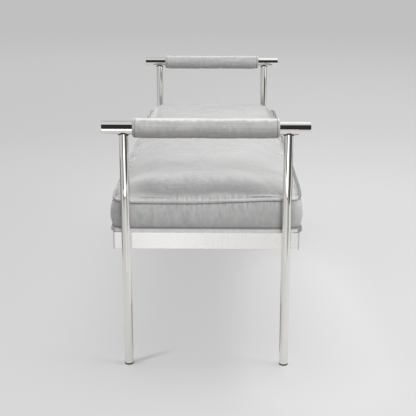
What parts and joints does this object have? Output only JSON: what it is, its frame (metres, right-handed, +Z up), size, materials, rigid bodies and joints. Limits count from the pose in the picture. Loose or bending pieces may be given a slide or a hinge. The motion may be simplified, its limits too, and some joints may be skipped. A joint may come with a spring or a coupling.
{
  "type": "hotel luggage bench",
  "caption": "Long upholstered bench with a boxed, piped velvet seat cushion on a polished steel frame, tube legs and padded end rails.",
  "frame": {"origin": "on the floor under the middle of the bench", "axes": "+X along the bench towards its right end, +Y to the rear, +Z up"},
  "size_m": [1.2322, 0.4826, 0.6185],
  "materials": {
    "polished_steel": "mirror-polished bright plated steel",
    "seat_velvet": "short-pile silver-grey velvet with a soft sheen",
    "grip_velvet": "the same silver-grey velvet, drawn tight over foam",
    "foam": "open-cell polyurethane foam",
    "wadding": "polyester wadding",
    "lining_cloth": "black non-woven lining cloth",
    "plywood": "raw birch plywood",
    "glide_plastic": "moulded black polyethylene",
    "zinc_hardware": "zinc-plated steel"
  },
  "bodies": {
    "root": {"top_rail_left": "polished_steel", "grip_cover_left": "grip_velvet", "grip_foam_left": "foam", "rail_cap_left_front": "polished_steel", "leg_left_front": "polished_steel", "foot_glide_left_front": "glide_plastic", "rail_cap_left_rear": "polished_steel", "leg_left_rear": "polished_steel", "foot_glide_left_rear": "glide_plastic", "end_rail_left": "polished_steel", "top_rail_right": "polished_steel", "grip_cover_right": "grip_velvet", "grip_foam_right": "foam", "rail_cap_right_front": "polished_steel", "leg_right_front": "polished_steel", "foot_glide_right_front": "glide_plastic", "rail_cap_right_rear": "polished_steel", "leg_right_rear": "polished_steel", "foot_glide_right_rear": "glide_plastic", "end_rail_right": "polished_steel", "side_rail_front": "polished_steel", "side_rail_rear": "polished_steel", "cross_bar_left": "polished_steel", "cross_bar_middle": "polished_steel", "cross_bar_right": "polished_steel", "leg_inserts": "zinc_hardware", "leg_bolts": "zinc_hardware", "leg_washers": "zinc_hardware", "seat_screws": "zinc_hardware", "seat_washers": "zinc_hardware", "tee_nuts": "zinc_hardware", "staples": "zinc_hardware", "seat_board": "plywood", "dust_cover": "lining_cloth", "foam_core": "foam", "wadding": "wadding", "cover_top_panel": "seat_velvet", "cover_band": "seat_velvet", "piping_top": "seat_velvet", "piping_bottom": "seat_velvet"}
  },
  "joints": []
}
